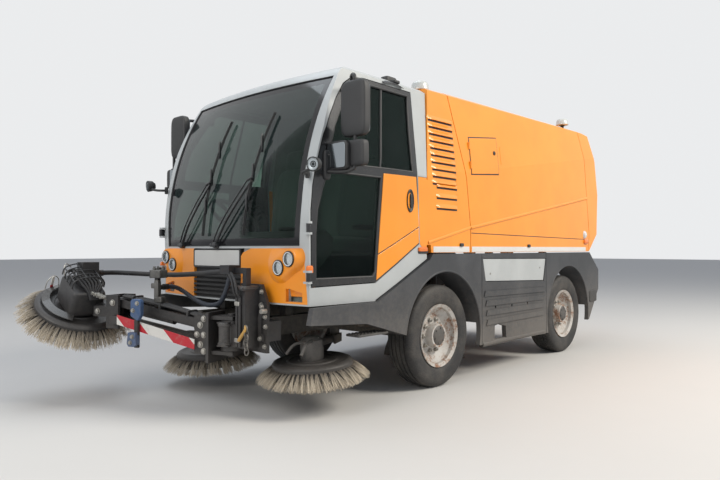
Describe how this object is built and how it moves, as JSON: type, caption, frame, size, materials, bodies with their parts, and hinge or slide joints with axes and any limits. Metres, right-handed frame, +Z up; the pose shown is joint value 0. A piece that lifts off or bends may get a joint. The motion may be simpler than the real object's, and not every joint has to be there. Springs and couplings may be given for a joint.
{
  "type": "compact street sweeper truck",
  "caption": "Compact street sweeper with a glazed cab, tipping dirt hopper with tailgate, side brooms and a front broom on a lifting, swinging arm.",
  "frame": {"origin": "middle of the underside of the whole machine's box, on the ground", "axes": "+X to the machine's left, +Y to its rear, +Z up"},
  "size_m": [2.369, 5.277, 2.3999],
  "materials": {
    "orange_paint": "glossy orange coachwork paint",
    "silver_paint": "satin silver-grey paint",
    "black_paint": "black chassis paint, dusty",
    "rim_paint": "pale wheel paint with rust and dust",
    "dark_plastic": "grained dark grey plastic",
    "trim_plastic": "dark grey interior plastic",
    "bristle": "straw-coloured bristles",
    "tyre_rubber": "dusty tyre rubber",
    "hose_rubber": "black hydraulic hose",
    "axle_iron": "dark cast iron, dusty",
    "cylinder_steel": "bright ground steel rod",
    "clear_glass": "lightly green-tinted glass",
    "lamp_lens": "clear lamp lens",
    "beacon_lens": "pale beacon lens",
    "plate_white": "dark panel with a blank white plate",
    "seat_cloth": "grey-green seat cloth",
    "warning_film": "red and white slanting stripes"
  },
  "bodies": {
    "chassis": {"broom_carrier": "black_paint", "cab_beacon": "beacon_lens", "cab_frame": "silver_paint", "cab_roof": "silver_paint", "cab_tub": "trim_plastic", "chassis_frame": "black_paint", "dashboard": "trim_plastic", "engine_block": "axle_iron", "engine_cover": "orange_paint", "front_axle": "axle_iron", "front_fenders": "dark_plastic", "front_panel": "orange_paint", "headlamps": "lamp_lens", "hose_bundle": "hose_rubber", "hose_loop": "hose_rubber", "number_plate": "plate_white", "rear_axle": "axle_iron", "rear_bumper": "black_paint", "rear_fenders": "dark_plastic", "seats": "seat_cloth", "side_panels": "silver_paint", "skirts": "dark_plastic", "suction_nozzle": "black_paint", "windscreen": "clear_glass", "wipers": "dark_plastic"},
    "knuckle_left": {"knuckle_left": "axle_iron"},
    "knuckle_right": {"knuckle_right": "axle_iron"},
    "wheel_front_left": {"tyre_front_left": "tyre_rubber", "rim_front_left": "rim_paint"},
    "wheel_front_right": {"tyre_front_right": "tyre_rubber", "rim_front_right": "rim_paint"},
    "wheel_rear_left": {"tyre_rear_left": "tyre_rubber", "rim_rear_left": "rim_paint"},
    "wheel_rear_right": {"tyre_rear_right": "tyre_rubber", "rim_rear_right": "rim_paint"},
    "steering_wheel": {"steering_wheel": "trim_plastic"},
    "door_left": {"door_left": "dark_plastic", "door_glass_left": "clear_glass", "mirrors_left": "dark_plastic"},
    "door_right": {"door_right": "dark_plastic", "door_glass_right": "clear_glass", "mirrors_right": "dark_plastic"},
    "hopper": {"hopper": "orange_paint", "hopper_beacon": "beacon_lens"},
    "tailgate": {"tailgate": "orange_paint"},
    "tip_barrel": {"tip_barrel": "black_paint"},
    "tip_rod": {"tip_rod": "cylinder_steel"},
    "swing_bracket": {"swing_bracket": "black_paint"},
    "upper_link": {"upper_link": "black_paint"},
    "lower_link": {"lower_link": "black_paint"},
    "end_bracket": {"end_bracket": "black_paint", "warning_bar": "warning_film"},
    "broom_head": {"broom_head": "black_paint"},
    "front_broom": {"front_broom": "bristle"},
    "broom_post_left": {"broom_post_left": "black_paint"},
    "broom_post_right": {"broom_post_right": "black_paint"},
    "broom_arm_left": {"broom_arm_left": "black_paint"},
    "broom_arm_right": {"broom_arm_right": "black_paint"},
    "side_broom_left": {"side_broom_left": "bristle"},
    "side_broom_right": {"side_broom_right": "bristle"}
  },
  "joints": [
    {"name": "steer_left", "type": "hinge", "parent": "chassis", "child": "knuckle_left", "pos_m": [0.68251, -0.2905, 0.383], "axis": [0, 0, 1], "range_deg": [-30, 30]},
    {"name": "spin_front_left", "type": "hinge", "parent": "knuckle_left", "child": "wheel_front_left", "pos_m": [0.79551, -0.2905, 0.383], "axis": [1, 0, 0], "continuous": true},
    {"name": "spin_rear_left", "type": "hinge", "parent": "chassis", "child": "wheel_rear_left", "pos_m": [0.79551, 1.8495, 0.383], "axis": [1, 0, 0], "continuous": true},
    {"name": "open_door_left", "type": "hinge", "parent": "chassis", "child": "door_left", "pos_m": [0.91651, -1.6425, 1], "axis": [0, 0, -1], "range_deg": [0, 70]},
    {"name": "steer_right", "type": "hinge", "parent": "chassis", "child": "knuckle_right", "pos_m": [-0.51349, -0.2905, 0.383], "axis": [0, 0, 1], "range_deg": [-30, 30]},
    {"name": "spin_front_right", "type": "hinge", "parent": "knuckle_right", "child": "wheel_front_right", "pos_m": [-0.62649, -0.2905, 0.383], "axis": [1, 0, 0], "continuous": true},
    {"name": "spin_rear_right", "type": "hinge", "parent": "chassis", "child": "wheel_rear_right", "pos_m": [-0.62649, 1.8495, 0.383], "axis": [1, 0, 0], "continuous": true},
    {"name": "open_door_right", "type": "hinge", "parent": "chassis", "child": "door_right", "pos_m": [-0.74749, -1.6425, 1], "axis": [0, 0, 1], "range_deg": [0, 70]},
    {"name": "turn_steering_wheel", "type": "hinge", "parent": "chassis", "child": "steering_wheel", "pos_m": [-0.30049, -1.29227, 1.25874], "axis": [0, 0.6222, 0.7828], "range_deg": [-360, 360]},
    {"name": "tip_hopper", "type": "hinge", "parent": "chassis", "child": "hopper", "pos_m": [0.08451, 2.3595, 0.96], "axis": [-1, 0, 0], "range_deg": [0, 50]},
    {"name": "open_tailgate", "type": "hinge", "parent": "hopper", "child": "tailgate", "pos_m": [0.08451, 2.1835, 2.288], "axis": [1, 0, 0], "range_deg": [0, 80]},
    {"name": "turn_tip_barrel", "type": "hinge", "parent": "chassis", "child": "tip_barrel", "pos_m": [0.08451, 2.06866, 0.43625], "axis": [-1, 0, 0], "range_deg": [0, 25.5]},
    {"name": "slide_tip_rod", "type": "slide", "parent": "tip_barrel", "child": "tip_rod", "axis": [0, -0.5144, 0.8576], "range_m": [0, 0.3834]},
    {"name": "swing_arm", "type": "hinge", "parent": "chassis", "child": "swing_bracket", "pos_m": [0.40051, -1.8105, 0.5], "axis": [0, 0, 1], "range_deg": [0, 95]},
    {"name": "lift_arm", "type": "hinge", "parent": "swing_bracket", "child": "upper_link", "pos_m": [0.23652, -1.8716, 0.56], "axis": [-0.3491, 0.9371, 0], "range_deg": [-25, 10]},
    {"name": "follow_lower_link", "type": "hinge", "parent": "swing_bracket", "child": "lower_link", "pos_m": [0.23652, -1.8716, 0.44], "axis": [-0.3491, 0.9371, 0], "range_deg": [-25, 10]},
    {"name": "follow_end_bracket", "type": "hinge", "parent": "upper_link", "child": "end_bracket", "pos_m": [-0.41943, -2.11598, 0.675], "axis": [-0.3491, 0.9371, 0], "range_deg": [-10, 25]},
    {"name": "tilt_broom", "type": "hinge", "parent": "end_bracket", "child": "broom_head", "pos_m": [-0.54125, -2.16137, 0.615], "axis": [0.3491, -0.9371, 0], "range_deg": [0, 20]},
    {"name": "spin_front_broom", "type": "hinge", "parent": "broom_head", "child": "front_broom", "pos_m": [-0.78049, -2.2505, 0.64], "axis": [0.5, 0, 0.866], "continuous": true},
    {"name": "swing_broom_left", "type": "hinge", "parent": "chassis", "child": "broom_post_left", "pos_m": [0.42451, -0.9305, 0.395], "axis": [0, 0, 1], "range_deg": [0, 20]},
    {"name": "lower_broom_left", "type": "hinge", "parent": "broom_post_left", "child": "broom_arm_left", "pos_m": [0.46624, -1.01024, 0.395], "axis": [0.886, 0.4636, 0], "range_deg": [0, 9]},
    {"name": "spin_broom_left", "type": "hinge", "parent": "broom_arm_left", "child": "side_broom_left", "pos_m": [0.64951, -1.3605, 0.318], "axis": [0, -0.0698, 0.9976], "continuous": true},
    {"name": "swing_broom_right", "type": "hinge", "parent": "chassis", "child": "broom_post_right", "pos_m": [-0.25549, -0.9305, 0.395], "axis": [0, 0, -1], "range_deg": [0, 20]},
    {"name": "lower_broom_right", "type": "hinge", "parent": "broom_post_right", "child": "broom_arm_right", "pos_m": [-0.29722, -1.01024, 0.395], "axis": [0.886, -0.4636, 0], "range_deg": [0, 5.5]},
    {"name": "spin_broom_right", "type": "hinge", "parent": "broom_arm_right", "child": "side_broom_right", "pos_m": [-0.48049, -1.3605, 0.262], "axis": [0, -0.0698, 0.9976], "continuous": true}
  ],
  "couplings": [
    {"joint": "steer_right", "follows": "steer_left", "ratio": 1},
    {"joint": "turn_steering_wheel", "follows": "steer_left", "ratio": 12},
    {"joint": "turn_tip_barrel", "follows": "tip_hopper", "ratio": 0.5},
    {"joint": "slide_tip_rod", "follows": "tip_hopper", "m_per_rad": 0.4382},
    {"joint": "follow_lower_link", "follows": "lift_arm", "ratio": 1},
    {"joint": "follow_end_bracket", "follows": "lift_arm", "ratio": -1}
  ]
}
